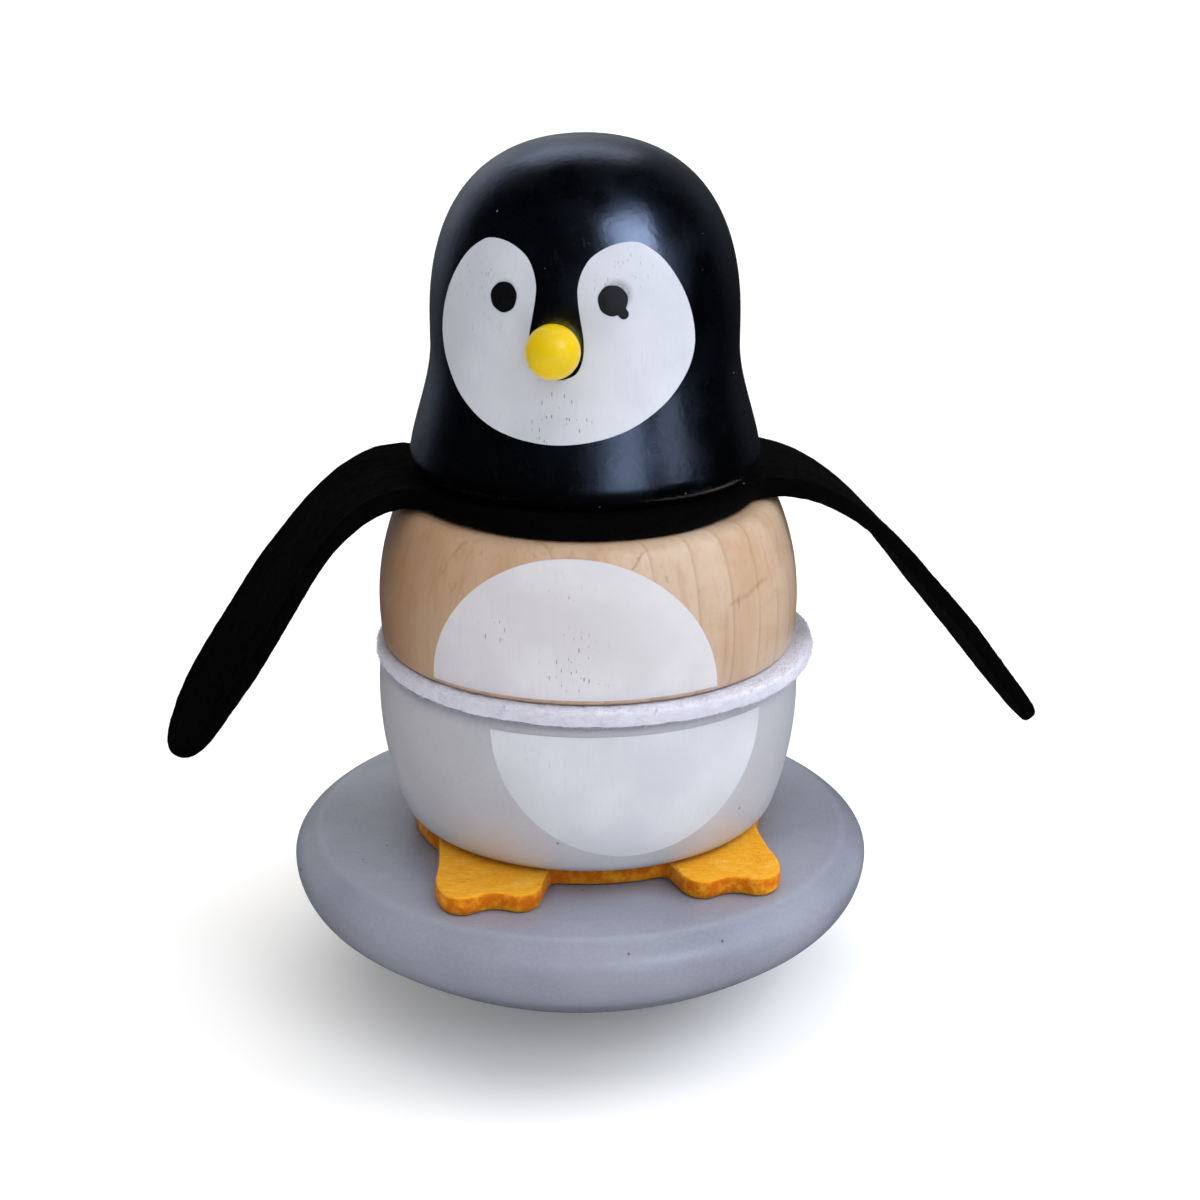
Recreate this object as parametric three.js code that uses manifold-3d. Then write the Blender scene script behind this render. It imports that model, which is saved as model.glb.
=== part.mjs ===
// A wooden stacking toy in the shape of a penguin, in millimetres, +Z up, front towards -Y.
// Turned rings and felt shapes drop over a post that is glued into a rocking base.
// The origin is the centre of the small flat that the base stands on.

import * as THREE from "three";
import { mergeVertices } from "three/addons/utils/BufferGeometryUtils.js";
import Module from "manifold-3d";

const wasm = await Module();
wasm.setup();

// Gap left between pieces that rest on or are glued into each other.
const SEAT_GAP = 0.3;

// Rocker base: a disc that is flat on top and domed below.
const BASE_RADIUS = 45;
const BASE_HEIGHT = 24.8;
const BASE_EDGE_ROUND = 4;
const BASE_SIDE_ROUND = 8.5;
const BASE_SPOT_RADIUS = 10;

// Post: a dowel glued into the base.
const POST_RADIUS = 7;
const POST_SOCKET_DEPTH = 18;
const POST_INTO_HEAD = 26;
const POST_TIP_ROUND = 2;

// Play, on the radius, between the post and the holes that go over it.
const BORE_PLAY = 1.5;
const FELT_HOLE_PLAY = 2.5;
const COLLAR_HOLE_PLAY = 3.3;
const BORE_EDGE = 0.8;

// Lower body ring: its side is one arc, widest near the top.
const LOWER_HEIGHT = 24.6;
const LOWER_RADIUS = 32.2;
const LOWER_WIDEST_AT = 19.4;
const LOWER_SIDE_ARC = 52;
const LOWER_EDGE_ROUND = 2;

// Upper body ring: widest near the bottom.
const UPPER_HEIGHT = 22.5;
const UPPER_RADIUS = 31.8;
const UPPER_WIDEST_AT = 6.1;
const UPPER_SIDE_ARC = 38;
const UPPER_FOOT_ROUND = 0.8;
const UPPER_SHOULDER_ROUND = 2;

// Head: a dome over a narrow neck that flares out to the foot.
const HEAD_HEIGHT = 48.7;
const HEAD_FOOT_RADIUS = 26.1;
const HEAD_FOOT_ROUND = 3.2;
const HEAD_NECK_RADIUS = 22.7;
const HEAD_NECK_FROM = 19.1;
const HEAD_NECK_TO = 22.6;
const HEAD_DOME_SIDE_PULL = 17;
const HEAD_DOME_CROWN_PULL = 14.5;
const HEAD_BORE_ROOM = 2;

// Nose: a ball on a peg, let a little into the face.
const NOSE_RADIUS = 3.8;
const NOSE_HEIGHT = 22.6;
const NOSE_SUNK = 1.6;
const NOSE_PEG_RADIUS = 2;
const NOSE_PEG_LENGTH = 8;

// Thickness of each felt, and the softness of its cut edges.
const FEET_FELT = 2.9;
const BELT_FELT = 2.4;
const WINGS_FELT = 3.2;
const FELT_EDGE = 0.5;

// Feet: an oval felt washer with two webbed feet.
const FEET_DISC_WIDTH = 55;
const FEET_DISC_DEPTH = 51;
const FOOT_SPREAD = 35.2;
const FOOT_REACH = 32;
const FOOT_WIDTH = 15.8;
const FOOT_HEEL_WIDTH = 13.6;
const FOOT_TOE_ROUND = 7;
const FOOT_NOTCH = 1.3;

// Belt: a felt washer that stands a little proud of the body.
const BELT_RADIUS = 33.4;

// Wings: a felt collar with two strips that lie flat on the body's top, then hang. Each strip
// is wider by its flare at the back of its root; back tells on which side of it that is.
// The felt is stretched thinner where it bends and hangs.
const COLLAR_RADIUS = 27.5;
const WING_WIDTH = 22.7;
const WING_ROOT_FILLET = 4;
const WING_FLARE_LENGTH = 7;
const WING_FELT = 2.3;
const WING_THINNING_LENGTH = 18;
const WING_TAPER_LENGTH = 32;
const WING_TIP_WIDTH = 14.5;
const WING_TIP_ROUND = 9;
const WING_TWIST_LENGTH = 48;
const WING_STEPS = 28;
const RIGHT_WING = {
  direction: -1,
  length: 90.8,
  droop: 52.4,
  bend: 15.6,
  twist: -7,
  flare: 2.4,
  back: 1,
};
const LEFT_WING = {
  direction: 183,
  length: 84.4,
  droop: 57.3,
  bend: 11.5,
  twist: -16.5,
  flare: 4.6,
  back: -1,
};

// How each piece happens to sit on the post: turned by an angle about +Z, and off centre by a
// share of its play, towards an angle from +X.
const FEET_SEAT = { turn: 7.1, share: 0.55, towards: 0 };
const BODY_SEAT = { turn: 0, share: 1, towards: 0 };
const BELT_SEAT = { turn: 0, share: 1, towards: 0 };
const WINGS_SEAT = { turn: 6.1, share: 1, towards: 88 };
const HEAD_SEAT = { turn: -9.7, share: 0.6, towards: 0 };

// Facets of a full turn, and of one curve of an outline.
const TURN_FACETS = 56;
const SMALL_TURN_FACETS = 24;
const CURVE_FACETS = 4;
const BASE_CURVE_FACETS = 3;

// Heights of the stack, each piece resting on the one below.
const feetBottom = BASE_HEIGHT + SEAT_GAP;
const lowerBottom = feetBottom + FEET_FELT + SEAT_GAP;
const beltBottom = lowerBottom + LOWER_HEIGHT + SEAT_GAP;
const upperBottom = beltBottom + BELT_FELT + SEAT_GAP;
const wingsBottom = upperBottom + UPPER_HEIGHT + SEAT_GAP;
const headBottom = wingsBottom + WINGS_FELT + SEAT_GAP;
const postBottom = BASE_HEIGHT - POST_SOCKET_DEPTH + SEAT_GAP;
const postTop = headBottom + POST_INTO_HEAD;

const boreRadius = POST_RADIUS + BORE_PLAY;

const radians = THREE.MathUtils.degToRad;

// Solids for cutting and joining

function solidOf(geometry) {
  const bare = geometry.clone();
  bare.deleteAttribute("normal");
  bare.deleteAttribute("uv");
  const merged = mergeVertices(bare, 1e-4);
  const corners = [];
  for (let i = 0; i < merged.index.count; i += 3) {
    const triangle = [0, 1, 2].map((k) => merged.index.getX(i + k));
    if (new Set(triangle).size === 3) corners.push(...triangle);
  }
  return new wasm.Manifold(
    new wasm.Mesh({
      numProp: 3,
      vertProperties: merged.attributes.position.array,
      triVerts: new Uint32Array(corners),
    }),
  );
}

function geometryOf(solid) {
  const mesh = solid.getMesh();
  return new THREE.BufferGeometry()
    .setAttribute("position", new THREE.BufferAttribute(mesh.vertProperties, 3))
    .setIndex(new THREE.BufferAttribute(mesh.triVerts, 1));
}

// A profile of radius and height, revolved about +Z.
function turned(profile, facets = TURN_FACETS) {
  return new THREE.LatheGeometry(profile, facets).rotateX(Math.PI / 2);
}

// Turned wood

// A ring with a barrel side: one arc of radius sideArc, bulging to radius at widestAt.
function barrelRing(ring) {
  const arcCentre = ring.radius - ring.sideArc;
  const angleAt = (height) => Math.asin((height - ring.widestAt) / ring.sideArc);
  const radiusAt = (height) => arcCentre + ring.sideArc * Math.cos(angleAt(height));
  const shoulder = ring.height - ring.topRound;
  const outline = new THREE.Path();
  outline.moveTo(boreRadius, BORE_EDGE);
  outline.lineTo(boreRadius + BORE_EDGE, 0);
  outline.lineTo(radiusAt(0) - ring.bottomRound, 0);
  outline.quadraticCurveTo(radiusAt(0), 0, radiusAt(ring.bottomRound), ring.bottomRound);
  outline.absarc(
    arcCentre,
    ring.widestAt,
    ring.sideArc,
    angleAt(ring.bottomRound),
    angleAt(shoulder),
    false,
  );
  const topRadius = radiusAt(ring.height);
  outline.quadraticCurveTo(topRadius, ring.height, topRadius - ring.topRound, ring.height);
  outline.lineTo(boreRadius + BORE_EDGE, ring.height);
  outline.lineTo(boreRadius, ring.height - BORE_EDGE);
  outline.closePath();
  return turned(outline.getPoints(CURVE_FACETS));
}

// The rim rounds out of the flat top to the widest edge and turns slower below it. The dome is
// the one that the side runs into smoothly and that ends at the flat spot.
function rockerBase() {
  const widest = BASE_HEIGHT - BASE_EDGE_ROUND;
  const side = new THREE.Vector2(BASE_RADIUS - BASE_SIDE_ROUND, widest);
  const share = widest ** 2 - BASE_SIDE_ROUND ** 2;
  const half = (side.lengthSq() - BASE_SPOT_RADIUS ** 2 - BASE_SIDE_ROUND ** 2) / 2;
  const root = Math.sqrt(half ** 2 + BASE_SPOT_RADIUS ** 2 * share);
  const domeCentre = (half * widest + BASE_SIDE_ROUND * root) / share;
  const domeRadius = Math.hypot(BASE_SPOT_RADIUS, domeCentre);
  const meeting = Math.atan2(side.y - domeCentre, side.x);
  const spot = Math.atan2(-domeCentre, BASE_SPOT_RADIUS);
  const socket = POST_RADIUS + SEAT_GAP;
  const floor = BASE_HEIGHT - POST_SOCKET_DEPTH;
  const outline = new THREE.Path();
  outline.moveTo(0, 0);
  outline.lineTo(BASE_SPOT_RADIUS, 0);
  outline.absarc(0, domeCentre, domeRadius, spot, meeting, false);
  outline.absarc(side.x, side.y, BASE_SIDE_ROUND, meeting, 0, false);
  outline.absarc(BASE_RADIUS - BASE_EDGE_ROUND, widest, BASE_EDGE_ROUND, 0, Math.PI / 2, false);
  outline.lineTo(socket, BASE_HEIGHT);
  outline.lineTo(socket, floor);
  outline.lineTo(0, floor);
  return turned(outline.getPoints(BASE_CURVE_FACETS));
}

function postDowel() {
  const outline = new THREE.Path();
  outline.moveTo(0, postBottom);
  outline.lineTo(POST_RADIUS, postBottom);
  outline.lineTo(POST_RADIUS, postTop - POST_TIP_ROUND);
  outline.quadraticCurveTo(POST_RADIUS, postTop, POST_RADIUS - POST_TIP_ROUND, postTop);
  outline.lineTo(0, postTop);
  return turned(outline.getPoints(CURVE_FACETS), SMALL_TURN_FACETS);
}

// The head stands on z = 0 here, with its blind bore open below.
function headCap() {
  const boreEnd = POST_INTO_HEAD + HEAD_BORE_ROOM;
  const flareFrom = HEAD_FOOT_ROUND;
  const flarePull = (HEAD_NECK_FROM - flareFrom) / 3;
  const outline = new THREE.Path();
  outline.moveTo(0, boreEnd);
  outline.lineTo(boreRadius, boreEnd);
  outline.lineTo(boreRadius, BORE_EDGE);
  outline.lineTo(boreRadius + BORE_EDGE, 0);
  outline.lineTo(HEAD_FOOT_RADIUS - HEAD_FOOT_ROUND, 0);
  outline.quadraticCurveTo(HEAD_FOOT_RADIUS, 0, HEAD_FOOT_RADIUS, flareFrom);
  outline.bezierCurveTo(
    HEAD_FOOT_RADIUS - (HEAD_FOOT_RADIUS - HEAD_NECK_RADIUS) / 4,
    flareFrom + flarePull,
    HEAD_NECK_RADIUS,
    HEAD_NECK_FROM - flarePull,
    HEAD_NECK_RADIUS,
    HEAD_NECK_FROM,
  );
  outline.lineTo(HEAD_NECK_RADIUS, HEAD_NECK_TO);
  outline.bezierCurveTo(
    HEAD_NECK_RADIUS,
    HEAD_NECK_TO + HEAD_DOME_SIDE_PULL,
    HEAD_DOME_CROWN_PULL,
    HEAD_HEIGHT,
    0,
    HEAD_HEIGHT,
  );
  return turned(outline.getPoints(CURVE_FACETS + 2));
}

// Ball and peg in one, along +Y with the ball's centre at the origin; grown is added all round.
function ballOnPeg(grown) {
  const ball = NOSE_RADIUS + grown;
  const peg = NOSE_PEG_RADIUS + grown;
  const outline = new THREE.Path();
  outline.moveTo(0, -NOSE_RADIUS - NOSE_PEG_LENGTH - grown);
  outline.lineTo(peg, -NOSE_RADIUS - NOSE_PEG_LENGTH - grown);
  outline.absarc(0, 0, ball, -Math.acos(peg / ball), Math.PI / 2, false);
  return new THREE.LatheGeometry(outline.getPoints(CURVE_FACETS), SMALL_TURN_FACETS);
}

// Where the ball's centre lies in front of the head's axis.
const noseReach = HEAD_NECK_RADIUS + NOSE_RADIUS - NOSE_SUNK;

function placedNose(grown) {
  return ballOnPeg(grown).rotateX(Math.PI).translate(0, -noseReach, NOSE_HEIGHT);
}

// Felt

function feltPlate(shape, thickness) {
  const settings = {
    depth: thickness - 2 * FELT_EDGE,
    bevelThickness: FELT_EDGE,
    bevelSize: FELT_EDGE,
    bevelOffset: -FELT_EDGE,
    bevelSegments: 1,
    curveSegments: CURVE_FACETS,
  };
  return new THREE.ExtrudeGeometry(shape, settings).translate(0, 0, FELT_EDGE);
}

// A felt washer with softened edges.
function feltWasher(radius, holePlay, thickness) {
  const hole = POST_RADIUS + holePlay;
  const outline = new THREE.Path();
  outline.moveTo(hole, FELT_EDGE);
  outline.lineTo(hole + FELT_EDGE, 0);
  outline.lineTo(radius - FELT_EDGE, 0);
  outline.quadraticCurveTo(radius, 0, radius, FELT_EDGE);
  outline.lineTo(radius, thickness - FELT_EDGE);
  outline.quadraticCurveTo(radius, thickness, radius - FELT_EDGE, thickness);
  outline.lineTo(hole + FELT_EDGE, thickness);
  outline.lineTo(hole, thickness - FELT_EDGE);
  outline.closePath();
  return turned(outline.getPoints(2));
}

// The feet's washer is an oval: a round one pressed in from front to back, its hole left round.
function feetWasher() {
  const edge = FEET_DISC_WIDTH / 2;
  const hole = POST_RADIUS + FELT_HOLE_PLAY;
  const washer = feltWasher(edge, FELT_HOLE_PLAY, FEET_FELT);
  const places = washer.attributes.position;
  for (let i = 0; i < places.count; i++) {
    const radius = Math.hypot(places.getX(i), places.getY(i));
    const outwards = (radius - hole) / (edge - hole);
    const pressed = 1 + (FEET_DISC_DEPTH / FEET_DISC_WIDTH - 1) * outwards;
    places.setY(i, places.getY(i) * pressed);
  }
  return washer;
}

// One foot, pointing along -Y from the washer's middle: a web with two square toes and a
// shallow notch between them.
function footShape() {
  const toe = FOOT_WIDTH / 2;
  const heel = FOOT_HEEL_WIDTH / 2;
  const heelAt = -FEET_DISC_DEPTH / 4;
  const corner = FOOT_TOE_ROUND - FOOT_REACH;
  const ankle = (corner + heelAt) / 2;
  const tip = -FOOT_REACH;
  const square = corner - 0.8 * FOOT_TOE_ROUND;
  const notch = FOOT_NOTCH - FOOT_REACH;
  const foot = new THREE.Shape();
  foot.moveTo(heel, heelAt);
  foot.lineTo(-heel, heelAt);
  foot.quadraticCurveTo(-heel, ankle, -toe, corner);
  foot.bezierCurveTo(-toe, square, -0.75 * toe, tip, -toe / 2, tip);
  foot.bezierCurveTo(-0.3 * toe, tip, -0.2 * toe, notch, 0, notch);
  foot.bezierCurveTo(0.2 * toe, notch, 0.3 * toe, tip, toe / 2, tip);
  foot.bezierCurveTo(0.75 * toe, tip, toe, square, toe, corner);
  foot.quadraticCurveTo(heel, ankle, heel, heelAt);
  return foot;
}

function feetFelt() {
  let felt = solidOf(feetWasher());
  for (const side of [-1, 1]) {
    const foot = feltPlate(footShape(), FEET_FELT).translate((side * FOOT_SPREAD) / 2, 0, 0);
    felt = felt.add(solidOf(foot));
  }
  return geometryOf(felt);
}

// How far a wing reaches to its front and its back edge, at a length along the felt from the
// collar's middle.
function wingReach(wing, along) {
  const taperFrom = wing.length - WING_TAPER_LENGTH;
  const taper = THREE.MathUtils.smoothstep(along, taperFrom, wing.length);
  const straight = THREE.MathUtils.lerp(WING_WIDTH, WING_TIP_WIDTH, taper) / 2;
  const intoTip = Math.max(0, along - wing.length + WING_TIP_ROUND) / WING_TIP_ROUND;
  const root = Math.sqrt(COLLAR_RADIUS ** 2 - (WING_WIDTH / 2) ** 2);
  const intoFillet = Math.min(1, Math.max(0, (along - root) / WING_ROOT_FILLET));
  const fillet = WING_ROOT_FILLET * (1 - Math.sqrt(1 - (1 - intoFillet) ** 2));
  const onCollar = along < root ? 0 : fillet / 2;
  const front = straight * Math.sqrt(1 - intoTip ** 2) + onCollar;
  const back = front + wing.flare * Math.exp(-(((along - root) / WING_FLARE_LENGTH) ** 2));
  return { front, back };
}

// A wing's cross-section: a flat bar with softened edges, across and through the felt. It
// reaches from -low to high across.
function wingSection(low, high, thickness) {
  const half = thickness / 2;
  const soft = Math.min(FELT_EDGE, low / 2, high / 2);
  const upper = [
    [high, half - FELT_EDGE],
    [high - soft, half],
    [soft - low, half],
    [-low, half - FELT_EDGE],
  ];
  return [...upper, ...upper.map(([x, y]) => [x, -y]).reverse()];
}

// A closed skin through sections of equal count, with flat ends.
function loft(sections) {
  const count = sections[0].length;
  const points = sections.flat();
  const index = [];
  for (let row = 0; row + 1 < sections.length; row++) {
    for (let k = 0; k < count; k++) {
      const a = row * count + k;
      const b = row * count + ((k + 1) % count);
      index.push(a, b, a + count, b, b + count, a + count);
    }
  }
  const last = (sections.length - 1) * count;
  for (let k = 1; k + 1 < count; k++) {
    index.push(0, k + 1, k, last, last + k, last + k + 1);
  }
  return new THREE.BufferGeometry().setFromPoints(points).setIndex(index);
}

// The strip leaves the body's flat top and bends down to its droop angle, turning about its
// own length by the twist as it goes.
function wingStrip(wing) {
  const heading = radians(wing.direction);
  const outwards = new THREE.Vector3(Math.cos(heading), Math.sin(heading), 0);
  const across = new THREE.Vector3(-Math.sin(heading), Math.cos(heading), 0);
  const up = new THREE.Vector3(0, 0, 1);
  const start = COLLAR_RADIUS / 2;
  const tip = wing.length - WING_TIP_ROUND / 50;
  const step = (tip - start) / WING_STEPS;
  const centre = outwards.clone().multiplyScalar(start).setZ(WINGS_FELT / 2);
  const sections = [];
  for (let i = 0; i <= WING_STEPS; i++) {
    const along = start + i * step;
    const hanging = Math.max(0, along - COLLAR_RADIUS);
    const droop = radians(wing.droop) * Math.tanh(hanging / wing.bend);
    const twist = radians(wing.twist) * Math.min(1, hanging / WING_TWIST_LENGTH);
    const level = outwards.clone().multiplyScalar(Math.cos(droop));
    const ahead = level.addScaledVector(up, -Math.sin(droop));
    const side = across.clone().applyAxisAngle(ahead, twist);
    const normal = ahead.clone().cross(side);
    const place = ([x, y]) => centre.clone().addScaledVector(side, x).addScaledVector(normal, y);
    const { front, back } = wingReach(wing, along);
    const [low, high] = wing.back > 0 ? [front, back] : [back, front];
    const thin = THREE.MathUtils.smoothstep(hanging, 0, WING_THINNING_LENGTH);
    const thickness = THREE.MathUtils.lerp(WINGS_FELT, WING_FELT, thin);
    sections.push(wingSection(low, high, thickness).map(place));
    centre.addScaledVector(ahead, step);
  }
  return loft(sections);
}

function wingsFelt() {
  let felt = solidOf(feltWasher(COLLAR_RADIUS, COLLAR_HOLE_PLAY, WINGS_FELT));
  for (const wing of [RIGHT_WING, LEFT_WING]) {
    felt = felt.add(solidOf(wingStrip(wing)));
  }
  return geometryOf(felt);
}

// The assembly

function painted(color, roughness) {
  return new THREE.MeshStandardMaterial({ color, roughness, metalness: 0 });
}

const greyPaint = painted(0x8e93a3, 0.55);
const blackPaint = painted(0x0d0c11, 0.4);
const yellowPaint = painted(0xf0cd1e, 0.4);
const clearWood = painted(0xd6b48c, 0.5);
const plainWood = painted(0xdcc4a0, 0.7);
const orangeFelt = painted(0xe39a32, 0.95);
const paleFelt = painted(0xc6c6dc, 0.95);
const blackFelt = painted(0x0a090c, 0.95);

const toy = new THREE.Group();

function piece(name, geometry, material) {
  const mesh = new THREE.Mesh(geometry, material);
  mesh.name = name;
  return mesh;
}

// A group at a height of the stack, turned and pushed off centre within its play.
function seated(seat, play, height) {
  const group = new THREE.Group();
  const shift = seat.share * (play - SEAT_GAP);
  const towards = radians(seat.towards);
  group.position.set(shift * Math.cos(towards), shift * Math.sin(towards), height);
  group.rotation.z = radians(seat.turn);
  toy.add(group);
  return group;
}

toy.add(piece("rocker_base", rockerBase(), greyPaint));
toy.add(piece("post", postDowel(), plainWood));

seated(FEET_SEAT, FELT_HOLE_PLAY, feetBottom).add(piece("feet_felt", feetFelt(), orangeFelt));

const lowerRing = {
  height: LOWER_HEIGHT,
  radius: LOWER_RADIUS,
  widestAt: LOWER_WIDEST_AT,
  sideArc: LOWER_SIDE_ARC,
  bottomRound: LOWER_EDGE_ROUND,
  topRound: LOWER_EDGE_ROUND,
};
seated(BODY_SEAT, BORE_PLAY, lowerBottom).add(
  piece("lower_body", barrelRing(lowerRing), greyPaint),
);

seated(BELT_SEAT, FELT_HOLE_PLAY, beltBottom).add(
  piece("belt_felt", feltWasher(BELT_RADIUS, FELT_HOLE_PLAY, BELT_FELT), paleFelt),
);

const upperRing = {
  height: UPPER_HEIGHT,
  radius: UPPER_RADIUS,
  widestAt: UPPER_WIDEST_AT,
  sideArc: UPPER_SIDE_ARC,
  bottomRound: UPPER_FOOT_ROUND,
  topRound: UPPER_SHOULDER_ROUND,
};
seated(BODY_SEAT, BORE_PLAY, upperBottom).add(
  piece("upper_body", barrelRing(upperRing), clearWood),
);

seated(WINGS_SEAT, COLLAR_HOLE_PLAY, wingsBottom).add(
  piece("wings_felt", wingsFelt(), blackFelt),
);

const headSolid = solidOf(headCap()).subtract(solidOf(placedNose(SEAT_GAP)));
const headGroup = seated(HEAD_SEAT, BORE_PLAY, headBottom);
headGroup.add(piece("head", geometryOf(headSolid), blackPaint));
headGroup.add(piece("nose", placedNose(0), yellowPaint));

export default toy;
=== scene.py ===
"""The looks of a wooden stacking toy in the shape of a bird, built around its CAD frame.

Turned wood is lathed again with fine profiles, the felts are rebuilt as soft sheets with loose
fibres, and the printed face and belly are thin layers that follow the wood.
Lengths in the tables below are millimetres, angles are degrees.
"""

import math
from collections import namedtuple

import bpy
import numpy as np
from mathutils import Matrix, Vector, geometry, noise


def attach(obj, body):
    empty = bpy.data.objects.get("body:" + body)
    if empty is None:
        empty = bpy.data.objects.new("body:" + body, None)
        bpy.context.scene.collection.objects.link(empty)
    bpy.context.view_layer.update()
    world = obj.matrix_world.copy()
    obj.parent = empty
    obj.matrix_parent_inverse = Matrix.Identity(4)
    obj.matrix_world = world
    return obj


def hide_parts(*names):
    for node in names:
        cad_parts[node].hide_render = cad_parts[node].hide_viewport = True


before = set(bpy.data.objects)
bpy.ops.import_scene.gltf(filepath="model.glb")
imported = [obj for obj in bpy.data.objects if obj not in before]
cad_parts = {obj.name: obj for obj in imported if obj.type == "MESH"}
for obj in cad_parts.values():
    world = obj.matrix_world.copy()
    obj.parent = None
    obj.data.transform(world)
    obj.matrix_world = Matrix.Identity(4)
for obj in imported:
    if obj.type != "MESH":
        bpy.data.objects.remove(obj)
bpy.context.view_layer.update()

MM = 0.001

# Heights at which the stacked pieces start
FEET_Z = 25.1
LOWER_Z = 28.3
BELT_Z = 53.2
UPPER_Z = 55.9
WINGS_Z = 78.7
HEAD_Z = 82.2

# Where each loose piece sits on the post: X, Y and how far it is turned
FEET_SEAT = (1.21, 0, 7.1)
BODY_SEAT = (1.2, 0, 0)
BELT_SEAT = (2.2, 0, 0)
WINGS_SEAT = (0.105, 2.998, 6.1)
HEAD_SEAT = (0.72, 0, -9.7)

# The post, its hole in the base, and the bores that drop over it
POST_RADIUS, POST_LOW, POST_TOP, POST_ROUND = 7, 7.1, 108.2, 2
POST_HOLE, POST_HOLE_DEPTH = 7.3, 18
BORE, BORE_EDGE = 8.5, 0.8

# The base: a dome on a small flat, a rounded side, and a crest about the flat top
BASE_RADIUS, BASE_HEIGHT, BASE_EDGE, BASE_SIDE, BASE_SPOT = 45, 24.8, 4, 8.5, 10
CREST_OUTSIDE, CREST_INSIDE = (41.6, 24.52), (40.1, BASE_HEIGHT)

# The body rings: radius, height of the widest place, radius of the side's arc, height, and how far
# foot and shoulder are rounded
Ring = namedtuple("Ring", "radius widest side height foot shoulder")
LOWER = Ring(32.2, 19.4, 52, 24.6, 2, 2)
UPPER = Ring(31.8, 6.1, 38, 22.5, 0.8, 2)

# The head: a flared foot, a straight neck and a dome
HEAD_HEIGHT, HEAD_FOOT, HEAD_FOOT_ROUND, HEAD_BORE_DEPTH = 48.7, 26.1, 3.2, 28
NECK, NECK_FROM, NECK_TO = 22.7, 19.1, 22.6

# The nose: a ball on a peg, sunk a little into the face
NOSE_RADIUS, NOSE_PEG, NOSE_LENGTH, NOSE_REACH, NOSE_HEIGHT = 3.8, 2, 8, 24.9, 22.6

# The printed eyes: angle from the nose, height above the head's foot, and radius
EYE_ANGLE, EYE_HEIGHT, EYE_RADIUS = 19.8, 29.1, 2.05


def on_head(angle, height, radius=22.2):
    """A place on the head, from the angle to the nose and the height above its foot."""
    turn = math.radians(angle + HEAD_SEAT[2])
    return (HEAD_SEAT[0] + radius * math.sin(turn), -radius * math.cos(turn), HEAD_Z + height)


def on_upper(angle, height):
    """A place on the upper ring, from the angle to the front and the height above its foot."""
    arc_height = math.sqrt(UPPER.side**2 - (height - UPPER.widest) ** 2)
    reach = UPPER.radius - UPPER.side + arc_height
    turn = math.radians(angle)
    return (BODY_SEAT[0] + reach * math.sin(turn), -reach * math.cos(turn), UPPER_Z + height)


# Grey spots by the eyes: place, reach, strength
EYE_SMUDGES = [
    (on_head(EYE_ANGLE + 1.8, EYE_HEIGHT + 0.8), 2.5, 0.5),
    (on_head(-EYE_ANGLE + 0.2, EYE_HEIGHT + 0.4), 2.4, 0.35),
]

# Where the wood's pores open through the prints: place, reach
FACE_PORES = [(on_head(2, 13, 24), 6.5)]
BELLY_PORES = [(on_upper(-3, 6), 7), (on_upper(-25, 11), 4), (on_upper(-6, 17), 3)]

# Marks in the upper ring's wood: angles and heights along them, half width, strength
VEINS = [
    ([(24, 22.3), (17.6, 21.9), (15, 21), (12.2, 19.5)], 0.4, 0.55),
    ([(20.1, 19.6), (21.1, 18.6), (21.9, 17.4)], 0.26, 0.4),
    ([(41, 12.7), (48.2, 13.4), (56, 14.2)], 0.6, 0.34),
    ([(-42.5, 16.5), (-39.7, 20), (-35.5, 21.9), (-31, 22.3)], 0.5, 0.3),
    ([(-24, 22.3), (-18, 21.9), (-14, 21)], 0.4, 0.3),
]


# Curves of a profile, as rows of radius and height

line = np.linspace


def ways(angle):
    """Unit vectors at angles."""
    return np.stack([np.cos(angle), np.sin(angle)], 1)


def arc(centre, radius, start, end, count):
    return np.array(centre) + radius * ways(line(start, end, count))


def bezier(points, count):
    t = np.linspace(0, 1, count)[:, None]
    rows = [np.array(p, float) for p in points]
    while len(rows) > 1:
        rows = [a * (1 - t) + b * t for a, b in zip(rows, rows[1:])]
    return rows[0]


def profile(*stretches):
    """Stretches of a profile in one, without doubled points."""
    rows = np.vstack([np.atleast_2d(np.array(s, float)) for s in stretches])
    apart = np.linalg.norm(np.diff(rows, axis=0), axis=1) > 1e-5
    return rows[np.concatenate([[True], apart])]


# Meshes


def smooth_object(name, points, faces, material):
    """A smooth mesh object from points in metres."""
    mesh = bpy.data.meshes.new(name)
    mesh.from_pydata(points, [], faces)
    mesh.validate()
    mesh.polygons.foreach_set("use_smooth", [True] * len(mesh.polygons))
    mesh.materials.append(material)
    made = bpy.data.objects.new(name, mesh)
    bpy.context.scene.collection.objects.link(made)
    return made


def piece(name, points, faces, material, body, nodes, slot):
    """A piece of the toy from points in millimetres, riding on a body."""
    made = smooth_object(name, (np.asarray(points) * MM).tolist(), faces, material)
    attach(made, body)
    if nodes:
        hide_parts(*nodes)
    return made


def revolved(rows, segments):
    """Points and faces of a profile turned about +Z. The solid lies on the profile's left."""
    angle = np.linspace(0, 2 * math.pi, segments, endpoint=False)
    points, rings = [], []
    for radius, height in rows:
        first = len(points)
        if radius < 1e-6:
            points.append((0, 0, height))
            rings.append([first] * segments)
        else:
            points += [(radius * math.cos(a), radius * math.sin(a), height) for a in angle]
            rings.append(list(range(first, first + segments)))
    faces = []
    for low, high in zip(rings, rings[1:]):
        for k in range(segments):
            n = (k + 1) % segments
            corners = list(dict.fromkeys([low[k], low[n], high[n], high[k]]))
            if len(corners) > 2:
                faces.append(corners)
    return np.array(points), faces


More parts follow.
